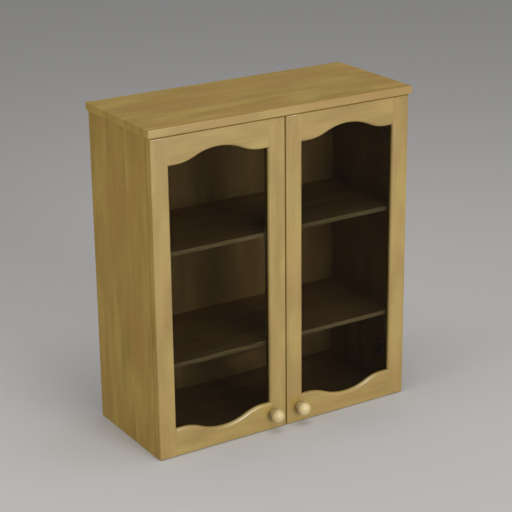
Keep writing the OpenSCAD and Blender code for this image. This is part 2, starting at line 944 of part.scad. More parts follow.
module strike(side) {
    color(STEEL) door_frame(side)
        difference() {
            at_strike() translate([0, 0, -strike_t]) cylinder(d = strike_d, h = strike_t);
            at_strike() countersunk_hole(STRIKE_SCREW);
        }
}

module strike_screw(side) {
    color(STEEL) door_frame(side) at_strike() countersunk(STRIKE_SCREW);
}

// Magnetic catch under the top panel

module at_magnets() {
    for (x = [-magnet_x, magnet_x])
        translate([x, -case_d - door_gap + strike_t + shut_gap, catch_z]) rotate([-90, 0, 0]) children();
}

module catch_body() {
    color(PLASTIC) case_frame()
        difference() {
            translate([-catch_w / 2, -case_d + catch_set, catch_z - catch_h / 2])
                linear_extrude(catch_h) soft_square(catch_w, catch_d, catch_r, [1, 1, 1, 1]);
            at_magnets() cylinder(d = magnet_d + 2 * snug_gap, h = magnet_l + snug_gap);
            at_catch_screws() countersunk_hole(CATCH_SCREW);
        }
}

module catch_magnets() {
    color(STEEL) case_frame() at_magnets() cylinder(d = magnet_d, h = magnet_l);
}

module catch_screws() {
    color(STEEL) case_frame() at_catch_screws() countersunk(CATCH_SCREW);
}

module hinge_stile_left() {
    hinge_stile(LEFT);
}

module hinge_stile_right() {
    hinge_stile(RIGHT);
}

module meeting_stile_left() {
    meeting_stile(LEFT);
}

module meeting_stile_right() {
    meeting_stile(RIGHT);
}

module top_rail_left() {
    top_rail(LEFT);
}

module top_rail_right() {
    top_rail(RIGHT);
}

module bottom_rail_left() {
    bottom_rail(LEFT);
}

module bottom_rail_right() {
    bottom_rail(RIGHT);
}

module glass_left() {
    glass(LEFT);
}

module glass_right() {
    glass(RIGHT);
}

module side_beads_left() {
    side_beads(LEFT);
}

module side_beads_right() {
    side_beads(RIGHT);
}

module end_beads_left() {
    end_beads(LEFT);
}

module end_beads_right() {
    end_beads(RIGHT);
}

module knob_left() {
    knob(LEFT);
}

module knob_right() {
    knob(RIGHT);
}

module knob_screw_left() {
    knob_screw(LEFT);
}

module knob_screw_right() {
    knob_screw(RIGHT);
}

module bumpers_left() {
    bumpers(LEFT);
}

module bumpers_right() {
    bumpers(RIGHT);
}

module strike_left() {
    strike(LEFT);
}

module strike_right() {
    strike(RIGHT);
}

module strike_screw_left() {
    strike_screw(LEFT);
}

module strike_screw_right() {
    strike_screw(RIGHT);
}

side_left();
side_right();
bottom_panel();
top_panel();
cap();
back_panel();
hanging_rail();
shelf_lower();
shelf_upper();
shelf_pins();
case_dowels();
rail_dowels();
cap_screws();
back_screws();
hinge_plates();
plate_screws();
hinge_arms();
arm_screws();
catch_body();
catch_magnets();
catch_screws();
hinge_stile_left();
meeting_stile_left();
top_rail_left();
bottom_rail_left();
glass_left();
side_beads_left();
end_beads_left();
hinge_cups_left();
cup_screws_left();
hinge_pins_left();
knob_left();
knob_screw_left();
bumpers_left();
strike_left();
strike_screw_left();
hinge_stile_right();
meeting_stile_right();
top_rail_right();
bottom_rail_right();
glass_right();
side_beads_right();
end_beads_right();
hinge_cups_right();
cup_screws_right();
hinge_pins_right();
knob_right();
knob_screw_right();
bumpers_right();
strike_right();
strike_screw_right();
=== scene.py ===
import json
import math

import bmesh
import bpy
from bpy.props import FloatProperty, FloatVectorProperty, PointerProperty
from mathutils import Matrix, Vector


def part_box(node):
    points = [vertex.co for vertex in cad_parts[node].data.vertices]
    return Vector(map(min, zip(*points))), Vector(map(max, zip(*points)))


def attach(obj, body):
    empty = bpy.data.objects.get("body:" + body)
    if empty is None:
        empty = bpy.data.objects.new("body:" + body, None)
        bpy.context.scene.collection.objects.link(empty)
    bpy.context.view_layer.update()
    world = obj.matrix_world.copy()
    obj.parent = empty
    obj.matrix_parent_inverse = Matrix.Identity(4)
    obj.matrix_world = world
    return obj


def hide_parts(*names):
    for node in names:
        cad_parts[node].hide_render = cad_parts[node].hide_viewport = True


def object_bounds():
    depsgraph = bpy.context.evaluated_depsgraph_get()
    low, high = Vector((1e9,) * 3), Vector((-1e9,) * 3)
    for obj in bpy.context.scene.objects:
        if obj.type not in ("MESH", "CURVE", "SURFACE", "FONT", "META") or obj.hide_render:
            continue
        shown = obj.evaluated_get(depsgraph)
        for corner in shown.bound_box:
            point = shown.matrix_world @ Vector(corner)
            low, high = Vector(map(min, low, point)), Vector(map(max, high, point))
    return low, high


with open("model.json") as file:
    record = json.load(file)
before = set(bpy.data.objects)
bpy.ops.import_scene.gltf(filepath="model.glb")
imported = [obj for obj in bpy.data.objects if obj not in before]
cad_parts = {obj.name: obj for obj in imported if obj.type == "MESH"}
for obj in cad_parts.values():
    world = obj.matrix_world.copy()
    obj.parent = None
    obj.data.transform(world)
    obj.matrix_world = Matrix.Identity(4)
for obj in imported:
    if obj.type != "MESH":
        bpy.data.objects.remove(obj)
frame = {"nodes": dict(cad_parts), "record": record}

bl_info = {
    "name": "Wall cabinet",
    "version": (1, 0, 0),
    "blender": (4, 5, 0),
    "location": "3D View > Sidebar > Cabinet",
    "description": "Finishes a glazed wall cabinet in lacquered wood, toned glass and plated fittings",
    "category": "Object",
}

CAD_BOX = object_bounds()
NODES = frame["nodes"]
BODY_OF = {
    node: body
    for body, members in frame["record"]["behaviour"]["bodies"].items()
    for node in members
}
SIDES = ("left", "right")
MM = 0.001

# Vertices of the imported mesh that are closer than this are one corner
WELD = 0.002 * MM
# Faces that turn less than this against each other are one flat face
FLAT = math.radians(0.6)
# Edges sharper than this are eased
CORNER = math.radians(35)
# Edges sharper than this stay sharp in the shading, on boards and on fasteners
CREASE = math.radians(50)
FASTENER_CREASE = math.radians(32)
# The lacquer fades out over this much of a door's front before its outer face
STILE_FADE = 0.6 * MM
# The lacquer on the cap covers its front edge and fades out between these depths behind it
CAP_FADE = (0.3 * MM, 1.2 * MM)
# The veneer on a shelf's front edge is this thick, and ends softly
VENEER = (0.4 * MM, 0.7 * MM)

# Where the camera stands, how far it is turned to the right, tipped down and rolled, in degrees
CAMERA_PLACE = (-1.77934, -3.0117, 0.93627)
CAMERA_TURN = 31.892
CAMERA_DIP = 20.092
CAMERA_ROLL = -0.6239

FLOOR_RADIUS = 40

# Where each lamp hangs, measured from the middle of the cabinet, and how wide it is
LAMPS = {
    "key": ((0.6, -5.3, 1.0), 2.7),
    "fill": ((-3.0, -0.1, 0.9), 2.0),
    "top": ((0.1, -0.5, 3.0), 2.4),
}

AXES = {"x": Vector((1, 0, 0)), "y": Vector((0, 1, 0)), "z": Vector((0, 0, 1))}


def axis(word):
    """The direction that a word such as x or -z names."""
    return AXES[word[-1]] * (-1 if word[0] == "-" else 1)


# Settings


class CabinetWood(bpy.types.PropertyGroup):
    """Colours and figure of the lacquered wood."""

    pale: FloatVectorProperty(
        name="Pale", description="Palest wood",
        default=(0.406, 0.285, 0.077), subtype="COLOR", min=0, max=1)
    deep: FloatVectorProperty(
        name="Deep", description="Darker bands in the wood",
        default=(0.301, 0.197, 0.048), subtype="COLOR", min=0, max=1)
    brown: FloatVectorProperty(
        name="Brown", description="Warm patches in the wood",
        default=(0.345, 0.200, 0.056), subtype="COLOR", min=0, max=1)
    stave_width: FloatProperty(
        name="Stave width", description="Width of the staves that the boards are glued up from",
        default=0.083, min=0.03, max=0.3, unit="LENGTH")
    ring_width: FloatProperty(
        name="Ring width", description="Distance between neighbouring growth rings",
        default=0.0046, min=0.001, max=0.02, unit="LENGTH")
    wander: FloatProperty(
        name="Wander", description="How far the growth rings stray from round",
        default=0.016, min=0, max=0.05, unit="LENGTH")
    roughness: FloatProperty(
        name="Roughness", description="Roughness of the bare figure under the lacquer",
        default=0.48, min=0, max=1, subtype="FACTOR")
    gloss: FloatProperty(
        name="Gloss", description="Strength of the sheen on the bare wood",
        default=0.04, min=0, max=1, subtype="FACTOR")
    lacquer: FloatProperty(
        name="Lacquer", description="Weight of the clear lacquer on the doors, the knobs and the cap's front",
        default=1.0, min=0, max=1, subtype="FACTOR")
    lacquer_index: FloatProperty(
        name="Lacquer index", description="Refractive index of the clear lacquer",
        default=1.8, min=1.1, max=2.5)
    lacquer_roughness: FloatProperty(
        name="Lacquer roughness", description="Roughness of the clear lacquer on the doors",
        default=0.26, min=0, max=1, subtype="FACTOR")
    knob_roughness: FloatProperty(
        name="Knob roughness", description="Roughness of the lacquer on the knobs",
        default=0.5, min=0, max=1, subtype="FACTOR")
    # The knobs' two colours are a paler wood, and are also lifted to paint in part of a broad highlight
    knob_pale: FloatVectorProperty(
        name="Knob pale", description="Palest wood of the knobs",
        default=(0.62, 0.49, 0.23), subtype="COLOR", min=0, max=1)
    knob_deep: FloatVectorProperty(
        name="Knob deep", description="Darker bands in the knobs' wood",
        default=(0.52, 0.39, 0.16), subtype="COLOR", min=0, max=1)
    edging: FloatVectorProperty(
        name="Edging", description="Colour of the veneer on the shelves' front edges",
        default=(0.43, 0.335, 0.115), subtype="COLOR", min=0, max=1)


class CabinetFittings(bpy.types.PropertyGroup):
    """Sizes and colours of the metal, plastic and rubber fittings."""

    recess_width: FloatProperty(
        name="Recess width", description="Width of each arm of a screw's cross, as a share of its head",
        default=0.17, min=0.05, max=0.4, subtype="FACTOR")
    recess_length: FloatProperty(
        name="Recess length", description="Span of a screw's cross, as a share of its head",
        default=0.62, min=0.2, max=0.9, subtype="FACTOR")
    shank_share: FloatProperty(
        name="Shank", description="Diameter of a screw's shank, as a share of its head",
        default=0.5, min=0.3, max=0.8, subtype="FACTOR")
    pin_diameter: FloatProperty(
        name="Shelf pin", description="Diameter of a shelf pin",
        default=0.005, min=0.003, max=0.008, unit="LENGTH")
    collar: FloatProperty(
        name="Pin collar", description="Thickness of a shelf pin's collar",
        default=0.001, min=0.0005, max=0.003, unit="LENGTH")
    nickel: FloatVectorProperty(
        name="Nickel", description="Colour of the plated hinges and shelf pins",
        default=(0.34, 0.31, 0.27), subtype="COLOR", min=0, max=1)
    zinc: FloatVectorProperty(
        name="Zinc", description="Colour of the plated screws and strike plates",
        default=(0.40, 0.38, 0.34), subtype="COLOR", min=0, max=1)
    magnet: FloatVectorProperty(
        name="Magnet", description="Colour of the catch's magnets",
        default=(0.10, 0.10, 0.105), subtype="COLOR", min=0, max=1)
    plastic: FloatVectorProperty(
        name="Plastic", description="Colour of the catch's moulded body",
        default=(0.72, 0.68, 0.58), subtype="COLOR", min=0, max=1)
    rubber: FloatVectorProperty(
        name="Rubber", description="Colour of the soft buffers",
        default=(0.58, 0.56, 0.50), subtype="COLOR", min=0, max=1)


class CabinetGlass(bpy.types.PropertyGroup):
    """Tone and clearness of the panes."""

    tint: FloatVectorProperty(
        name="Tint", description="Tone that the glass gives to what is seen through it",
        default=(0.42, 0.41, 0.455), subtype="COLOR", min=0, max=1)
    index: FloatProperty(
        name="Index", description="Refractive index, which sets how strongly the glass mirrors",
        default=1.13, min=1.01, max=1.8)
    smudge: FloatProperty(
        name="Smudge", description="Roughness of the faint film on the glass",
        default=0.03, min=0, max=0.4, subtype="FACTOR")


class CabinetEdges(bpy.types.PropertyGroup):
    """How far sharp edges are eased."""

    board: FloatProperty(
        name="Board edges", description="Width of the eased edges of the case's boards",
        default=0.0005, min=0.0001, max=0.002, unit="LENGTH")
    cap: FloatProperty(
        name="Cap edges", description="Width of the eased corners of the cap",
        default=0.0009, min=0.0001, max=0.002, unit="LENGTH")
    joint: FloatProperty(
        name="Joint edges", description="Width of the fine groove where two parts of a door meet",
        default=0.00022, min=0.0001, max=0.001, unit="LENGTH")
    metal: FloatProperty(
        name="Metal edges", description="Width of the eased edges of the metal fittings",
        default=0.0002, min=0.00005, max=0.001, unit="LENGTH")


class CabinetStage(bpy.types.PropertyGroup):
    """Floor, light and camera."""

    floor: FloatVectorProperty(
        name="Floor", description="Colour of the floor",
        default=(0.60, 0.59, 0.58), subtype="COLOR", min=0, max=1)
    sky: FloatProperty(
        name="Room light", description="Strength of the even light from all round",
        default=0.30, min=0, max=2)
    pale: FloatProperty(
        name="Backdrop", description="Brightness of the backdrop that the camera sees",
        default=0.50, min=0, max=1)
    key: FloatProperty(
        name="Key lamp", description="Power of the large soft lamp in front",
        default=186, min=0, max=500, unit="POWER")
    fill: FloatProperty(
        name="Fill lamp", description="Power of the large soft lamp at the left",
        default=26, min=0, max=500, unit="POWER")
    top: FloatProperty(
        name="Top lamp", description="Power of the large soft lamp overhead",
        default=33, min=0, max=500, unit="POWER")
    lens: FloatProperty(
        name="Lens", description="Focal length on a sensor 36 mm wide",
        default=112.347, min=20, max=300)


# Node trees


def put(tree, kind, inputs=None, **settings):
    """Adds a node, sets it up, and feeds its inputs with values or with the outputs of other nodes."""
    node = tree.nodes.new(kind)
    for name, value in settings.items():
        setattr(node, name, value)
    for key, value in (inputs or {}).items():
        if isinstance(value, bpy.types.NodeSocket):
            tree.links.new(value, node.inputs[key])
        else:
            node.inputs[key].default_value = value
    return node


def calc(tree, operation, first, second=0.0):
    """A sum on two numbers, as an output socket."""
    return put(tree, "ShaderNodeMath", {0: first, 1: second}, operation=operation).outputs[0]


def vector_calc(tree, operation, first, second=(0, 0, 0)):
    """A sum on one or two vectors, as an output socket."""
    node = put(tree, "ShaderNodeVectorMath", {0: first, 1: second}, operation=operation)
    return node.outputs["Value" if operation == "LENGTH" else "Vector"]


def blend(tree, share, first, second, kind="MIX"):
    """Two colours mixed by a share, as an output socket."""
    node = put(tree, "ShaderNodeMix", {0: share, 6: first, 7: second}, data_type="RGBA", blend_type=kind)
    return node.outputs[2]


def spread(tree, value, low, high, to_low, to_high, smooth=False):
    """A number carried from one range to another, as an output socket."""
    node = put(
        tree, "ShaderNodeMapRange",
        {"Value": value, "From Min": low, "From Max": high, "To Min": to_low, "To Max": to_high},
        interpolation_type="SMOOTHSTEP" if smooth else "LINEAR")
    return node.outputs[0]


def noise(tree, place, scale, detail=2.0, output=0):
    """Noise with a scale of its own along each axis, as an output socket."""
    stretched = vector_calc(tree, "MULTIPLY", place, scale)
    node = put(tree, "ShaderNodeTexNoise", {"Vector": stretched, "Scale": 1.0, "Detail": detail})
    return node.outputs[output]


def new_group(name, kind, inputs, outputs):
    """A node group with the given sockets, as (tree, input node, output node)."""
    tree = bpy.data.node_groups.new(name, kind)
    for label, socket, value in inputs:
        made = tree.interface.new_socket(label, in_out="INPUT", socket_type=socket)
        if value is not None:
            made.default_value = value
    for label, socket in outputs:
        tree.interface.new_socket(label, in_out="OUTPUT", socket_type=socket)
    return tree, tree.nodes.new("NodeGroupInput"), tree.nodes.new("NodeGroupOutput")


def board_figure():
    """Figure of a sawn board: X runs across it, Y through it and Z along the grain."""
    found = bpy.data.node_groups.get("board_figure")
    if found:
        return found
    tree, given, result = new_group(
        "board_figure", "ShaderNodeTree",
        [
            ("Place", "NodeSocketVector", None),
            ("Pale", "NodeSocketColor", (0.5, 0.4, 0.2, 1)),
            ("Deep", "NodeSocketColor", (0.4, 0.3, 0.1, 1)),
            ("Brown", "NodeSocketColor", (0.4, 0.25, 0.1, 1)),
            ("Stave Width", "NodeSocketFloat", 0.08),
            ("Ring Width", "NodeSocketFloat", 0.005),
            ("Wander", "NodeSocketFloat", 0.015),
            ("Figure", "NodeSocketFloat", 1.0),
            ("Flecks", "NodeSocketFloat", 1.0),
            ("Patches", "NodeSocketFloat", 0.75),
            ("Tone Spread", "NodeSocketFloat", 0.055),
            ("Roughness", "NodeSocketFloat", 0.4),
            ("Draw", "NodeSocketFloat", 0.0),
        ],
        [("Color", "NodeSocketColor"), ("Height", "NodeSocketFloat"), ("Roughness", "NodeSocketFloat")])
    g = given.outputs

    # Each stave is cut from another place of the log
    across = put(tree, "ShaderNodeSeparateXYZ", {0: g["Place"]}).outputs[0]
    count = calc(tree, "DIVIDE", across, g["Stave Width"])
    stave = calc(tree, "FLOOR", calc(tree, "ADD", count, g["Draw"]))
    ticket = calc(tree, "ADD", stave, g["Draw"])
    draw = put(tree, "ShaderNodeTexWhiteNoise", {"W": ticket}, noise_dimensions="1D")
    chance = vector_calc(tree, "SUBTRACT", draw.outputs["Color"], (0.5, 0.5, 0.5))
    place = vector_calc(tree, "ADD", g["Place"], vector_calc(tree, "MULTIPLY", chance, (0.09, 0.05, 1.7)))

    # Growth rings about the heart of the log, which lies along Z
    stray = vector_calc(tree, "SUBTRACT", noise(tree, place, (7, 7, 1.1), 3, 1), (0.5, 0.5, 0.5))
    reach = put(tree, "ShaderNodeCombineXYZ", {0: g["Wander"], 1: g["Wander"], 2: 0.0}).outputs[0]
    place_in_log = vector_calc(tree, "ADD", place, vector_calc(tree, "MULTIPLY", stray, reach))
    round_log = vector_calc(tree, "MULTIPLY", place_in_log, (1, 1, 0))
    radius = vector_calc(tree, "LENGTH", round_log)
    season = calc(tree, "FRACT", calc(tree, "DIVIDE", radius, g["Ring Width"]))
    late = calc(
        tree, "MULTIPLY",
        spread(tree, season, 0.2, 0.88, 0, 1, True), spread(tree, season, 0.88, 1, 1, 0, True))
    years = noise(tree, round_log, (45, 45, 45), 1)
    late = calc(tree, "MULTIPLY", late, spread(tree, years, 0.35, 0.65, 0.25, 1))

    # Bands, clouds, patches, fibres and dark flecks, all drawn out along the grain
    bands = noise(tree, place_in_log, (46, 46, 3.2), 3)
    clouds = noise(tree, place_in_log, (24, 24, 7), 2)
    patches = noise(tree, place_in_log, (15, 15, 4.5), 3)
    fibres = noise(tree, place, (640, 640, 11), 3)
    marks = noise(tree, place, (230, 230, 34), 2)
    flecks = spread(tree, marks, 0.62, 0.74, 0, 1, True)

    rings = calc(tree, "MULTIPLY", late, g["Figure"])
    tone = calc(tree, "ADD", spread(tree, bands, 0.3, 0.7, 0.0, 0.55), rings)
    tone = calc(tree, "ADD", tone, spread(tree, clouds, 0.34, 0.66, -0.3, 0.5))
    tone = calc(tree, "ADD", tone, spread(tree, fibres, 0.3, 0.7, -0.12, 0.12))
    tone = put(tree, "ShaderNodeClamp", {0: tone}).outputs[0]
    colour = blend(tree, tone, g["Pale"], g["Deep"])
    warm = calc(tree, "MULTIPLY", spread(tree, patches, 0.36, 0.62, 0, 1, True), g["Patches"])
    colour = blend(tree, warm, colour, g["Brown"])
    colour = blend(
        tree, calc(tree, "MULTIPLY", flecks, g["Flecks"]), colour,
        blend(tree, 1.0, colour, (0.72, 0.64, 0.55, 1), "MULTIPLY"))
    light = put(tree, "ShaderNodeSeparateColor", {0: draw.outputs["Color"]}).outputs[2]
    light = calc(tree, "ADD", calc(tree, "MULTIPLY", spread(tree, light, 0, 1, -1, 1), g["Tone Spread"]), 1.0)
    light = put(tree, "ShaderNodeCombineXYZ", dict.fromkeys(range(3), light))
    colour = blend(tree, 1.0, colour, light.outputs[0], "MULTIPLY")

    height = calc(tree, "SUBTRACT", calc(tree, "ADD", fibres, calc(tree, "MULTIPLY", late, 0.4)), flecks)
    rough = calc(tree, "ADD", g["Roughness"], spread(tree, fibres, 0.3, 0.7, -0.05, 0.05))
    rough = calc(tree, "ADD", rough, calc(tree, "MULTIPLY", flecks, 0.1))
    tree.links.new(colour, result.inputs["Color"])
    tree.links.new(height, result.inputs["Height"])
    tree.links.new(rough, result.inputs["Roughness"])
    return tree


def metal_figure():
    """Fine wear of plated metal: cloudy plating, hairlines and pits."""
    found = bpy.data.node_groups.get("metal_figure")
    if found:
        return found
    tree, given, result = new_group(
        "metal_figure", "ShaderNodeTree",
        [
            ("Place", "NodeSocketVector", None),
            ("Color", "NodeSocketColor", (0.5, 0.5, 0.5, 1)),
            ("Roughness", "NodeSocketFloat", 0.3),
            ("Grit", "NodeSocketFloat", 0.5),
        ],
        [("Color", "NodeSocketColor"), ("Height", "NodeSocketFloat"), ("Roughness", "NodeSocketFloat")])
    g = given.outputs
    clouds = noise(tree, g["Place"], (90, 90, 90), 3)
    lines = noise(tree, g["Place"], (400, 3200, 3200), 2)
    pits = spread(tree, noise(tree, g["Place"], (1500, 1500, 1500), 1), 0.66, 0.74, 0, 1, True)
    dark = blend(tree, 1.0, g["Color"], (0.80, 0.78, 0.75, 1), "MULTIPLY")
    colour = blend(tree, spread(tree, clouds, 0.35, 0.65, 0, 0.6), g["Color"], dark)
    rough = calc(tree, "ADD", g["Roughness"], spread(tree, clouds, 0.3, 0.7, -0.06, 0.08))
    rough = calc(tree, "ADD", rough, spread(tree, lines, 0.3, 0.7, -0.05, 0.07))
    grit = calc(tree, "MULTIPLY", calc(tree, "SUBTRACT", lines, pits), g["Grit"])
    tree.links.new(colour, result.inputs["Color"])
    tree.links.new(rough, result.inputs["Roughness"])
    tree.links.new(grit, result.inputs["Height"])
    return tree


def new_material(name):
    """An empty node material, as (material, tree, surface shader)."""
    material = bpy.data.materials.new(name)
    material.use_nodes = True
    tree = material.node_tree
    tree.nodes.clear()
    surface = put(tree, "ShaderNodeBsdfPrincipled")
    put(tree, "ShaderNodeOutputMaterial", {"Surface": surface.outputs[0]})
    return material, tree, surface


def emboss(tree, surface, height, depth, strength=1.0):
    """Presses a height into a surface, with depth in metres."""
    bump = put(tree, "ShaderNodeBump", {"Strength": strength, "Distance": depth, "Height": height})
    tree.links.new(bump.outputs[0], surface.inputs["Normal"])


def wood(node, across, through, staves=True, patches=0.6, tones=0.04, shades=None):
    """Wood for one board, whose width and thickness run along the given axes."""
    settings = bpy.context.scene.cabinet_wood
    pale, deep, brown = shades or (settings.pale, settings.deep, settings.brown)
    low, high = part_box(node)
    turn = Matrix((axis(across), axis(through), axis(across).cross(axis(through))))
    index = sorted(NODES).index(node)
    # The heart of the log lies beside the board, at another place for each board
    heart = Vector((0.035 * math.sin(2.4 * index), 0.075 + 0.03 * math.cos(1.7 * index), 0.61 * index))
    material, tree, surface = new_material("wood_" + node)
    place = put(
        tree, "ShaderNodeMapping",
        {
            "Vector": put(tree, "ShaderNodeTexCoord").outputs["Object"],
            "Rotation": turn.to_euler(),
            "Location": heart - turn @ ((low + high) / 2),
        })
    figure = put(tree, "ShaderNodeGroup", node_tree=board_figure())
    for label, value in {
        "Pale": (*pale, 1),
        "Deep": (*deep, 1),
        "Brown": (*brown, 1),
        "Stave Width": settings.stave_width if staves else 10.0,
        "Ring Width": settings.ring_width,
        "Wander": settings.wander,
        "Figure": 0.2,
        "Flecks": 0.45,
        "Patches": patches,
        "Tone Spread": tones,
        "Roughness": settings.roughness,
        "Draw": 0.37 + 0.618 * index,
    }.items():
        figure.inputs[label].default_value = value
    tree.links.new(place.outputs[0], figure.inputs["Place"])
    tree.links.new(figure.outputs["Color"], surface.inputs["Base Color"])
    tree.links.new(figure.outputs["Roughness"], surface.inputs["Roughness"])
    emboss(tree, surface, figure.outputs["Height"], 0.06 * MM, 0.35)
    surface.inputs["Specular IOR Level"].default_value = settings.gloss
    return material


def object_axis(tree, index):
    """One coordinate of a piece's own surface, as an output socket."""
    place = put(tree, "ShaderNodeTexCoord").outputs["Object"]
    return put(tree, "ShaderNodeSeparateXYZ", {0: place}).outputs[index]


def lacquered(material, roughness, index=0, coated=0.0, bare=None):
    """Adds clear lacquer to a wood, all over or fading out between two places along an axis."""
    settings = bpy.context.scene.cabinet_wood
    tree = material.node_tree
    surface = tree.nodes["Principled BSDF"]
    surface.inputs["Coat Weight"].default_value = settings.lacquer
    surface.inputs["Coat IOR"].default_value = settings.lacquer_index
    surface.inputs["Coat Roughness"].default_value = roughness
    if bare is not None:
        coat = spread(tree, object_axis(tree, index), coated, bare, settings.lacquer, 0, True)
        tree.links.new(coat, surface.inputs["Coat Weight"])
    return material


def edged(material, front_y):
    """Adds a thin pale veneer to a board's front edge."""
    tree = material.node_tree
    surface = tree.nodes["Principled BSDF"]
    figure = surface.inputs["Base Color"].links[0].from_socket
    front = spread(tree, object_axis(tree, 1), front_y + VENEER[0], front_y + VENEER[1], 1, 0)
    veneer = bpy.context.scene.cabinet_wood.edging
    place = put(tree, "ShaderNodeTexCoord").outputs["Object"]
    streaks = noise(tree, place, (9, 300, 300), 3)
    shade = blend(
        tree, spread(tree, streaks, 0.3, 0.7, 0, 1), (*veneer, 1), (*(0.86 * c for c in veneer), 1))
    tree.links.new(blend(tree, front, figure, shade), surface.inputs["Base Color"])
    return material


def plated(name, colour, roughness, grit=0.5):
    """Plated metal."""
    found = bpy.data.materials.get(name)
    if found:
        return found
    material, tree, surface = new_material(name)
    figure = put(tree, "ShaderNodeGroup", node_tree=metal_figure())
    figure.inputs["Color"].default_value = (*colour, 1)
    figure.inputs["Roughness"].default_value = roughness
    figure.inputs["Grit"].default_value = grit
    tree.links.new(put(tree, "ShaderNodeTexCoord").outputs["Object"], figure.inputs["Place"])
    tree.links.new(figure.outputs["Color"], surface.inputs["Base Color"])
    tree.links.new(figure.outputs["Roughness"], surface.inputs["Roughness"])
    emboss(tree, surface, figure.outputs["Height"], 0.02 * MM, 0.3)
    surface.inputs["Metallic"].default_value = 1.0
    return material


def nickel():
    """Dull nickel of the hinges, the strike plates and the shelf pins."""
    return plated("nickel", bpy.context.scene.cabinet_fittings.nickel, 0.42)


def zinc():
    """Zinc of the screws and the hinge pins."""
    return plated("zinc", bpy.context.scene.cabinet_fittings.zinc, 0.34)


def moulded(name, colour, roughness, see_through=0.0):
    """Moulded plastic or rubber, with a faint texture from its mould."""
    found = bpy.data.materials.get(name)
    if found:
        return found
    material, tree, surface = new_material(name)
    place = put(tree, "ShaderNodeTexCoord").outputs["Object"]
    grain = noise(tree, place, (1900, 1900, 1900), 2)
    clouds = noise(tree, place, (60, 60, 60), 2)
    dark = tuple(0.86 * c for c in colour)
    shade = blend(tree, spread(tree, clouds, 0.3, 0.7, 0, 1), (*colour, 1), (*dark, 1))
    tree.links.new(shade, surface.inputs["Base Color"])
    rough = calc(tree, "ADD", spread(tree, grain, 0.3, 0.7, -0.06, 0.06), roughness)
    tree.links.new(rough, surface.inputs["Roughness"])
    surface.inputs["Transmission Weight"].default_value = see_through
    emboss(tree, surface, grain, 0.03 * MM, 0.4)
    return material


def pane_glass():
    """Toned glass with a faint film that dulls it here and there."""
    settings = bpy.context.scene.cabinet_glass
    material, tree, surface = new_material("toned_glass")
    place = put(tree, "ShaderNodeTexCoord").outputs["Object"]
    film = noise(tree, place, (9, 9, 14), 4)
    wipes = noise(tree, place, (26, 26, 5), 3)
    smear = calc(tree, "MULTIPLY", film, wipes)
    tree.links.new(spread(tree, smear, 0.2, 0.42, 0.0, settings.smudge, True), surface.inputs["Roughness"])
    surface.inputs["Base Color"].default_value = (*settings.tint, 1)
    surface.inputs["Transmission Weight"].default_value = 1.0
    surface.inputs["IOR"].default_value = settings.index
    return material


# Meshes


def welded(node):
    """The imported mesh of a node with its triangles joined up, as a bmesh."""
    made = bmesh.new()
    made.from_mesh(NODES[node].data)
    bmesh.ops.remove_doubles(made, verts=made.verts, dist=WELD)
    bmesh.ops.dissolve_degenerate(made, edges=made.edges, dist=WELD)
    return made


def loose_parts(node):
    """The lowest and highest corner of each separate part of a node."""
    made = welded(node)
    left = set(made.verts)
    boxes = []
    while left:
        front = [left.pop()]
        part = []
        while front:
            vertex = front.pop()
            part.append(vertex.co.copy())
            for edge in vertex.link_edges:
                other = edge.other_vert(vertex)
                if other in left:
                    left.remove(other)
                    front.append(other)
        boxes.append((Vector(map(min, zip(*part))), Vector(map(max, zip(*part)))))
    made.free()
    return sorted(boxes, key=lambda box: tuple(round(c, 5) for c in (*box[0], *box[1])))


def new_piece(name, made, material):
    """An object at the origin that holds a finished bmesh."""
    mesh = bpy.data.meshes.new(name)
    made.to_mesh(mesh)
    made.free()
    piece = bpy.data.objects.new(name, mesh)
    bpy.context.scene.collection.objects.link(piece)
    mesh.materials.append(material)
    return piece


def settle(piece, node):
    """Turns a piece and its modifiers into one plain mesh inside its node's box, to stand for the node."""
    graph = bpy.context.evaluated_depsgraph_get()
    mesh = bpy.data.meshes.new_from_object(piece.evaluated_get(graph))
    if not mesh.polygons:
        raise RuntimeError(piece.name + " came out empty")
    rough = piece.data
    piece.modifiers.clear()
    piece.data = mesh
    bpy.data.meshes.remove(rough)
    mesh.name = piece.name
    low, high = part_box(node)
    for vertex in mesh.vertices:
        vertex.co = [min(max(c, least), most) for c, least, most in zip(vertex.co, low, high)]
    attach(piece, BODY_OF[node])
    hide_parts(node)


def eased(node, width, material):
    """A node's own shape with its sharp edges eased, which stands for the node."""
    made = welded(node)
    bmesh.ops.dissolve_limit(made, angle_limit=FLAT, verts=made.verts, edges=made.edges)
    weight = made.edges.layers.float.new("bevel_weight_edge")
    for edge in made.edges:
        turn = edge.calc_face_angle_signed(0.0)
        edge[weight] = 1.0 if turn > CORNER else 0.0
        edge.smooth = abs(turn) < CREASE
    for face in made.faces:
        face.smooth = True
    piece = new_piece("finished_" + node, made, material)
    bevel = piece.modifiers.new("ease", "BEVEL")
    bevel.width = width
    bevel.segments = 2
    bevel.limit_method = "WEIGHT"
    bevel.use_clamp_overlap = False
    bevel.harden_normals = False
    shade = piece.modifiers.new("shade", "WEIGHTED_NORMAL")
    shade.keep_sharp = True
    shade.weight = 100
    settle(piece, node)


def clad(node, material):
    """Gives a node that stays as it is a material of its own."""
    mesh = NODES[node].data
    mesh.materials.clear()
    mesh.materials.append(material)


# Fasteners, made by Geometry Nodes


def fastener_tree(name, sizes):
    """The start of a tree that puts one fastener on every point, as (tree, input sockets, output node)."""
    tree, given, result = new_group(
        name, "GeometryNodeTree",
        [("Geometry", "NodeSocketGeometry", None), *((label, "NodeSocketFloat", None) for label in sizes),
         ("Turn Seed", "NodeSocketInt", 0), ("Material", "NodeSocketMaterial", None)],
        [("Geometry", "NodeSocketGeometry")])
    return tree, given.outputs, result


def shifted(tree, mesh, height):
    """A mesh moved along Z, as an output socket."""
    lift = put(tree, "ShaderNodeCombineXYZ", {2: height}).outputs[0]
    return put(tree, "GeometryNodeTransform", {"Geometry": mesh, "Translation": lift}).outputs[0]


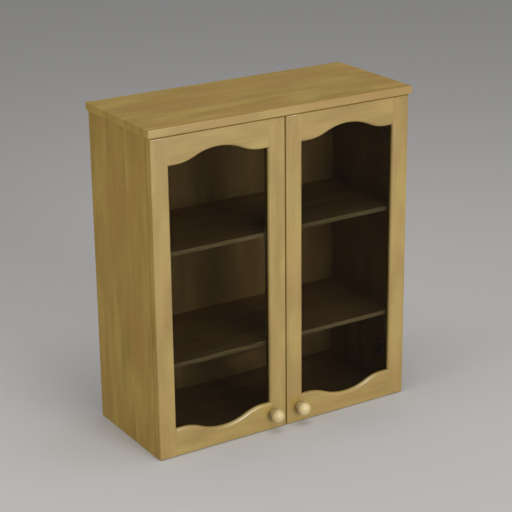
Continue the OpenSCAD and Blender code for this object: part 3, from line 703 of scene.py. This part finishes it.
def disc_bar(tree, radius_low, radius_high, height, foot, sides=32):
    """A closed cone or cylinder that stands on the height foot, as an output socket."""
    cone = put(
        tree, "GeometryNodeMeshCone",
        {"Vertices": sides, "Radius Top": radius_high, "Radius Bottom": radius_low, "Depth": height})
    return shifted(tree, cone.outputs["Mesh"], foot)


def cut_or_join(tree, operation, first, others):
    """A mesh with others cut out of it or joined to it, as an output socket."""
    node = put(tree, "GeometryNodeMeshBoolean", operation=operation, solver="EXACT")
    if first is not None:
        tree.links.new(first, node.inputs["Mesh 1"])
    for other in others:
        tree.links.new(other, node.inputs["Mesh 2"])
    return node.outputs["Mesh"]


def finish_fasteners(tree, g, result, part):
    """Sets a part on every point, turned to face the way the point says, as one mesh."""
    soft = put(tree, "GeometryNodeSetShadeSmooth", {0: part}, domain="FACE").outputs[0]
    angle = put(tree, "GeometryNodeInputMeshEdgeAngle").outputs[0]
    sharp = put(
        tree, "FunctionNodeCompare", {0: angle, 1: FASTENER_CREASE},
        data_type="FLOAT", operation="GREATER_THAN")
    crisp = put(
        tree, "GeometryNodeSetShadeSmooth", {0: soft, "Selection": sharp.outputs[0], "Shade Smooth": False},
        domain="EDGE").outputs[0]
    facing = put(tree, "GeometryNodeInputNamedAttribute", {"Name": "facing"}, data_type="FLOAT_VECTOR")
    upright = put(tree, "FunctionNodeAlignRotationToVector", {"Vector": facing.outputs[0]}, axis="Z")
    chance = put(
        tree, "FunctionNodeRandomValue", {2: 0.0, 3: math.tau, "Seed": g["Turn Seed"]}, data_type="FLOAT")
    twist = put(tree, "FunctionNodeAxisAngleToRotation", {"Axis": (0, 0, 1), "Angle": chance.outputs[1]})
    turned = put(
        tree, "FunctionNodeRotateRotation", {0: upright.outputs[0], 1: twist.outputs[0]},
        rotation_space="LOCAL")
    placed = put(
        tree, "GeometryNodeInstanceOnPoints",
        {"Points": g["Geometry"], "Instance": crisp, "Rotation": turned.outputs[0]})
    real = put(tree, "GeometryNodeRealizeInstances", {0: placed.outputs[0]})
    clothed = put(tree, "GeometryNodeSetMaterial", {0: real.outputs[0], "Material": g["Material"]})
    tree.links.new(clothed.outputs[0], result.inputs[0])
    return tree


def screw_tree(pan):
    """Screws with a cross recess, either countersunk or with a round pan head on the surface."""
    name = "pan_head_screws" if pan else "countersunk_screws"
    found = bpy.data.node_groups.get(name)
    if found:
        return found
    tree, g, result = fastener_tree(
        name, ("Head Diameter", "Head Height", "Shank Diameter", "Length", "Recess Width", "Recess Length"))
    head_r = calc(tree, "MULTIPLY", g["Head Diameter"], 0.5)
    shank_r = calc(tree, "MULTIPLY", g["Shank Diameter"], 0.5)
    seat = calc(tree, "MULTIPLY", g["Head Height"], -1.0)
    if pan:
        # Three low cones follow a round crown
        parts = []
        foot = seat
        for share, (wide, narrow) in ((0.4, (1.0, 0.95)), (0.35, (0.95, 0.8)), (0.25, (0.8, 0.52))):
            height = calc(tree, "MULTIPLY", g["Head Height"], share)
            low_r = calc(tree, "MULTIPLY", head_r, wide)
            high_r = calc(tree, "MULTIPLY", head_r, narrow)
            parts.append(disc_bar(tree, low_r, high_r, height, foot))
            foot = calc(tree, "ADD", foot, height)
    else:
        rim = calc(tree, "MULTIPLY", g["Head Height"], 0.12)
        parts = [
            disc_bar(tree, shank_r, head_r, calc(tree, "SUBTRACT", g["Head Height"], rim), seat),
            disc_bar(tree, head_r, head_r, rim, calc(tree, "MULTIPLY", rim, -1.0)),
        ]
    bury = 0.2 * MM
    shank_l = calc(tree, "SUBTRACT", g["Length"], calc(tree, "SUBTRACT", g["Head Height"], bury))
    tip_l = calc(tree, "MULTIPLY", g["Shank Diameter"], 0.9)
    body_l = calc(tree, "SUBTRACT", shank_l, tip_l)
    point = calc(tree, "MULTIPLY", g["Length"], -1.0)
    parts.append(disc_bar(tree, shank_r, shank_r, body_l, calc(tree, "ADD", point, tip_l), 24))
    parts.append(disc_bar(tree, calc(tree, "MULTIPLY", shank_r, 0.12), shank_r, tip_l, point, 24))
    whole = cut_or_join(tree, "UNION", None, parts)
    span = calc(tree, "MULTIPLY", g["Head Diameter"], g["Recess Length"])
    width = calc(tree, "MULTIPLY", g["Head Diameter"], g["Recess Width"])
    depth = calc(tree, "MULTIPLY", g["Head Height"], 1.3)
    bars = []
    for wide, deep in ((span, width), (width, span)):
        size = put(tree, "ShaderNodeCombineXYZ", {0: wide, 1: deep, 2: depth}).outputs[0]
        bars.append(put(tree, "GeometryNodeMeshCube", {"Size": size}).outputs[0])
    heart_r = calc(tree, "MULTIPLY", width, 0.95)
    heart = disc_bar(tree, 0.0, heart_r, depth, calc(tree, "MULTIPLY", depth, -1.0), 8)
    proud = 0.1 * MM
    heart = shifted(tree, heart, proud)
    return finish_fasteners(tree, g, result, cut_or_join(tree, "DIFFERENCE", whole, [*bars, heart]))


def pin_tree():
    """Shelf pins: a bar with eased ends and a collar that stops it at the side's face."""
    found = bpy.data.node_groups.get("shelf_pins")
    if found:
        return found
    tree, g, result = fastener_tree(
        "shelf_pins", ("Diameter", "Collar Diameter", "Collar", "Inside", "Outside"))
    bar_r = calc(tree, "MULTIPLY", g["Diameter"], 0.5)
    collar_r = calc(tree, "MULTIPLY", g["Collar Diameter"], 0.5)
    end_r = calc(tree, "MULTIPLY", bar_r, 0.8)
    end_l = calc(tree, "SUBTRACT", bar_r, end_r)
    back = calc(tree, "MULTIPLY", g["Inside"], -1.0)
    whole_l = calc(tree, "ADD", g["Inside"], g["Outside"])
    bar_l = calc(tree, "SUBTRACT", whole_l, calc(tree, "MULTIPLY", end_l, 2.0))
    bar_foot = calc(tree, "ADD", back, end_l)
    parts = [
        disc_bar(tree, bar_r, bar_r, bar_l, bar_foot),
        disc_bar(tree, end_r, bar_r, end_l, back),
        disc_bar(tree, bar_r, end_r, end_l, calc(tree, "SUBTRACT", g["Outside"], end_l)),
        disc_bar(tree, collar_r, collar_r, calc(tree, "MULTIPLY", g["Collar"], 0.7), 0.0),
        disc_bar(
            tree, collar_r, calc(tree, "MULTIPLY", collar_r, 0.92), calc(tree, "MULTIPLY", g["Collar"], 0.3),
            calc(tree, "MULTIPLY", g["Collar"], 0.7)),
    ]
    return finish_fasteners(tree, g, result, cut_or_join(tree, "UNION", None, parts))


def set_fasteners(node, tree, facing, material, sizes, reach):
    """Puts a fastener on the outer end of each part of a node, all of them to stand for the node."""
    boxes = loose_parts(node)
    mesh = bpy.data.meshes.new("points")
    points = []
    turns = []
    for low, high in boxes:
        middle = (low + high) / 2
        way = axis(facing) if facing else Vector((-1 if middle.x > 0 else 1, 0, 0))
        top = max(low.dot(way), high.dot(way)) - reach
        points.append(middle + way * (top - middle.dot(way)))
        turns.extend(way)
    mesh.from_pydata(points, [], [])
    mesh.attributes.new("facing", "FLOAT_VECTOR", "POINT").data.foreach_set("vector", turns)
    piece = bpy.data.objects.new("finished_" + node, mesh)
    bpy.context.scene.collection.objects.link(piece)
    modifier = piece.modifiers.new("fasteners", "NODES")
    modifier.node_group = tree
    values = {**sizes, "Turn Seed": len(node), "Material": material}
    for item in tree.interface.items_tree:
        if item.in_out == "INPUT" and item.name in values:
            modifier[item.identifier] = values[item.name]
    settle(piece, node)


def set_screws(node, facing, pan=False, head_height=0.3):
    """Screws for a node, with their sizes read from the node's own parts."""
    fittings = bpy.context.scene.cabinet_fittings
    low, high = loose_parts(node)[0]
    size = high - low
    along = axis(facing or "x")
    length = abs(size.dot(along))
    head = max(c for c, a in zip(size, along) if a == 0)
    set_fasteners(
        node, screw_tree(pan), facing, zinc(),
        {
            "Head Diameter": head,
            "Head Height": head_height * head,
            "Shank Diameter": fittings.shank_share * head,
            "Length": length,
            "Recess Width": fittings.recess_width,
            "Recess Length": fittings.recess_length,
        }, 0.0)


# Operators


class CABINET_OT_case(bpy.types.Operator):
    """Make the sides, the bottom, the top, the back panel and the hanging rail"""

    bl_idname = "cabinet.case"
    bl_label = "Case"

    def execute(self, context):
        scene = context.scene
        ease = scene.cabinet_edges.board
        for node, across, through, staves in (
            ("side_left", "y", "-x", True),
            ("side_right", "-y", "x", True),
            ("bottom_panel", "y", "z", True),
            ("top_panel", "y", "z", True),
            ("back_panel", "x", "y", False),
            ("hanging_rail", "-z", "y", False),
        ):
            eased(node, ease, wood(node, across, through, staves))
        return {"FINISHED"}


class CABINET_OT_cap(bpy.types.Operator):
    """Make the cap that lies over the case and the doors"""

    bl_idname = "cabinet.cap"
    bl_label = "Cap"

    def execute(self, context):
        scene = context.scene
        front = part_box("cap")[0].y
        finish = lacquered(
            wood("cap", "y", "z"), scene.cabinet_wood.lacquer_roughness,
            1, front + CAP_FADE[0], front + CAP_FADE[1])
        eased("cap", scene.cabinet_edges.cap, finish)
        return {"FINISHED"}


class CABINET_OT_shelves(bpy.types.Operator):
    """Make the two loose shelves and their pins"""

    bl_idname = "cabinet.shelves"
    bl_label = "Shelves"

    def execute(self, context):
        scene = context.scene
        for node in ("shelf_lower", "shelf_upper"):
            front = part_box(node)[0].y
            eased(node, scene.cabinet_edges.board, edged(wood(node, "y", "z"), front))
        fittings = scene.cabinet_fittings
        low, high = loose_parts("shelf_pins")[0]
        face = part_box("bottom_panel")[0].x
        set_fasteners(
            "shelf_pins", pin_tree(), None, nickel(),
            {
                "Diameter": fittings.pin_diameter,
                "Collar Diameter": high.z - low.z,
                "Collar": fittings.collar,
                "Inside": face - low.x,
                "Outside": high.x - face,
            }, high.x - face)
        return {"FINISHED"}


class CABINET_OT_doors(bpy.types.Operator):
    """Make the stiles, the curved rails and the glazing beads of both doors"""

    bl_idname = "cabinet.doors"
    bl_label = "Door frames"

    def execute(self, context):
        scene = context.scene
        ease = scene.cabinet_edges.joint
        roughness = scene.cabinet_wood.lacquer_roughness
        for side in SIDES:
            outer = max(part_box("hinge_stile_" + side), key=lambda corner: abs(corner.x)).x
            inner = outer - math.copysign(STILE_FADE, outer)
            for part, across, through in (
                ("hinge_stile", "x", "y"),
                ("meeting_stile", "x", "y"),
                ("top_rail", "-z", "y"),
                ("bottom_rail", "-z", "y"),
                ("side_beads", "x", "y"),
                ("end_beads", "-z", "y"),
            ):
                node = f"{part}_{side}"
                finish = lacquered(
                    wood(node, across, through, staves=False, patches=0.25, tones=0.015), roughness,
                    0, inner, outer if part == "hinge_stile" else None)
                eased(node, ease, finish)
        return {"FINISHED"}


class CABINET_OT_glass(bpy.types.Operator):
    """Make the toned panes"""

    bl_idname = "cabinet.glass"
    bl_label = "Glass"

    def execute(self, context):
        scene = context.scene
        material = pane_glass()
        for side in SIDES:
            eased("glass_" + side, scene.cabinet_edges.joint, material)
        return {"FINISHED"}


class CABINET_OT_knobs(bpy.types.Operator):
    """Make the turned knobs"""

    bl_idname = "cabinet.knobs"
    bl_label = "Knobs"

    def execute(self, context):
        scene = context.scene
        settings = scene.cabinet_wood
        # Paler knob wood that also holds a painted highlight, which makes the whole knob lighter
        shades = (settings.knob_pale, settings.knob_deep, settings.knob_deep)
        for side in SIDES:
            node = "knob_" + side
            turned = wood(node, "x", "-z", staves=False, patches=0.3, shades=shades)
            finish = lacquered(turned, settings.knob_roughness)
            eased(node, scene.cabinet_edges.metal, finish)
        return {"FINISHED"}


class CABINET_OT_hinges(bpy.types.Operator):
    """Make the hinges: plates, arms, cups and pins"""

    bl_idname = "cabinet.hinges"
    bl_label = "Hinges"

    def execute(self, context):
        ease = context.scene.cabinet_edges.metal
        for node in ("hinge_plates", "hinge_arms", "hinge_cups_left", "hinge_cups_right"):
            eased(node, ease, nickel())
        for side in SIDES:
            eased("hinge_pins_" + side, ease, zinc())
        return {"FINISHED"}


class CABINET_OT_catch(bpy.types.Operator):
    """Make the magnetic catch, its strike plates and the buffers"""

    bl_idname = "cabinet.catch"
    bl_label = "Catch and buffers"

    def execute(self, context):
        scene = context.scene
        fittings = scene.cabinet_fittings
        edges = scene.cabinet_edges
        eased("catch_body", edges.board, moulded("moulded_plastic", fittings.plastic, 0.45))
        eased("catch_magnets", edges.metal, plated("magnet", fittings.magnet, 0.5, 1.0))
        rubber = moulded("soft_rubber", fittings.rubber, 0.6, 0.25)
        for side in SIDES:
            eased("strike_" + side, edges.metal, nickel())
            eased("bumpers_" + side, edges.board, rubber)
        return {"FINISHED"}


class CABINET_OT_screws(bpy.types.Operator):
    """Make the screws, and finish the dowels"""

    bl_idname = "cabinet.screws"
    bl_label = "Screws and dowels"

    def execute(self, context):
        set_screws("cap_screws", "-z")
        set_screws("back_screws", "y")
        set_screws("catch_screws", "-z")
        set_screws("plate_screws", None)
        set_screws("arm_screws", None, pan=True)
        for side in SIDES:
            set_screws("cup_screws_" + side, "y")
            set_screws("strike_screw_" + side, "y", head_height=0.23)
            set_screws("knob_screw_" + side, "y", pan=True)
        for node in ("case_dowels", "rail_dowels"):
            clad(node, wood(node, "y", "z", staves=False))
        return {"FINISHED"}


class CABINET_OT_stage(bpy.types.Operator):
    """Make the floor, the lamps and the camera"""

    bl_idname = "cabinet.stage"
    bl_label = "Stage"

    def execute(self, context):
        scene = context.scene
        settings = scene.cabinet_stage
        self.make_floor(settings)
        self.make_world(scene, settings)
        for name, (place, size) in LAMPS.items():
            self.make_lamp(name, Vector(place), size, getattr(settings, name))
        camera = bpy.data.objects.new("camera", bpy.data.cameras.new("camera"))
        scene.collection.objects.link(camera)
        camera.data.lens = settings.lens
        camera.data.clip_end = 100
        camera.matrix_world = (
            Matrix.Translation(CAMERA_PLACE)
            @ Matrix.Rotation(math.radians(-CAMERA_TURN), 4, "Z")
            @ Matrix.Rotation(math.radians(90 - CAMERA_DIP), 4, "X")
            @ Matrix.Rotation(math.radians(CAMERA_ROLL), 4, "Z"))
        scene.camera = camera
        scene.view_settings.view_transform = "Standard"
        return {"FINISHED"}

    def make_floor(self, settings):
        made = bmesh.new()
        bmesh.ops.create_circle(made, cap_ends=True, segments=96, radius=FLOOR_RADIUS)
        bmesh.ops.translate(made, verts=made.verts, vec=(0, 0, CAD_BOX[0].z))
        material, tree, surface = new_material("floor")
        place = put(tree, "ShaderNodeTexCoord").outputs["Object"]
        clouds = noise(tree, place, (0.9, 0.9, 0.9), 3)
        dark = tuple(0.985 * c for c in settings.floor)
        shade = blend(tree, clouds, (*settings.floor, 1), (*dark, 1))
        tree.links.new(shade, surface.inputs["Base Color"])
        surface.inputs["Roughness"].default_value = 0.9
        surface.inputs["Specular IOR Level"].default_value = 0.1
        new_piece("floor", made, material)

    def make_world(self, scene, settings):
        world = bpy.data.worlds.new("studio")
        scene.world = world
        world.use_nodes = True
        tree = world.node_tree
        tree.nodes.clear()
        ray = put(tree, "ShaderNodeLightPath").outputs
        seen = calc(tree, "MAXIMUM", ray["Is Camera Ray"], ray["Is Glossy Ray"])
        seen = calc(tree, "MAXIMUM", seen, ray["Is Transmission Ray"])
        level = spread(tree, seen, 0, 1, settings.sky, settings.pale)
        light = put(tree, "ShaderNodeBackground", {"Color": (1, 1, 1, 1), "Strength": level})
        put(tree, "ShaderNodeOutputWorld", {"Surface": light.outputs[0]})

    def make_lamp(self, name, place, size, power):
        data = bpy.data.lights.new(name, "AREA")
        data.shape = "DISK"
        data.size = size
        data.energy = power
        lamp = bpy.data.objects.new(name, data)
        bpy.context.scene.collection.objects.link(lamp)
        lamp.location = (CAD_BOX[0] + CAD_BOX[1]) / 2 + place
        lamp.rotation_euler = (-place).to_track_quat("-Z", "Y").to_euler()
        lamp.visible_camera = False


STEPS = (
    CABINET_OT_case,
    CABINET_OT_cap,
    CABINET_OT_shelves,
    CABINET_OT_doors,
    CABINET_OT_glass,
    CABINET_OT_knobs,
    CABINET_OT_hinges,
    CABINET_OT_catch,
    CABINET_OT_screws,
    CABINET_OT_stage,
)


class CABINET_PT_making(bpy.types.Panel):
    """Lists the steps that finish the cabinet"""

    bl_label = "Wall cabinet"
    bl_space_type = "VIEW_3D"
    bl_region_type = "UI"
    bl_category = "Cabinet"

    def draw(self, context):
        for step in STEPS:
            self.layout.operator(step.bl_idname)
        for name in SETTINGS:
            group = getattr(context.scene, name)
            box = self.layout.box()
            for prop in group.__annotations__:
                box.prop(group, prop)


SETTINGS = {
    "cabinet_wood": CabinetWood,
    "cabinet_fittings": CabinetFittings,
    "cabinet_glass": CabinetGlass,
    "cabinet_edges": CabinetEdges,
    "cabinet_stage": CabinetStage,
}


def register():
    """Adds the settings, the operators and the panel to Blender."""
    for name, group in SETTINGS.items():
        bpy.utils.register_class(group)
        setattr(bpy.types.Scene, name, PointerProperty(type=group))
    for item in (*STEPS, CABINET_PT_making):
        bpy.utils.register_class(item)


def unregister():
    """Takes them out again."""
    for item in (CABINET_PT_making, *reversed(STEPS)):
        bpy.utils.unregister_class(item)
    for name, group in SETTINGS.items():
        delattr(bpy.types.Scene, name)
        bpy.utils.unregister_class(group)


def main():
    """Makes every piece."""
    register()
    for step in STEPS:
        family, name = step.bl_idname.split(".")
        getattr(getattr(bpy.ops, family), name)()


if __name__ == "__main__":
    main()
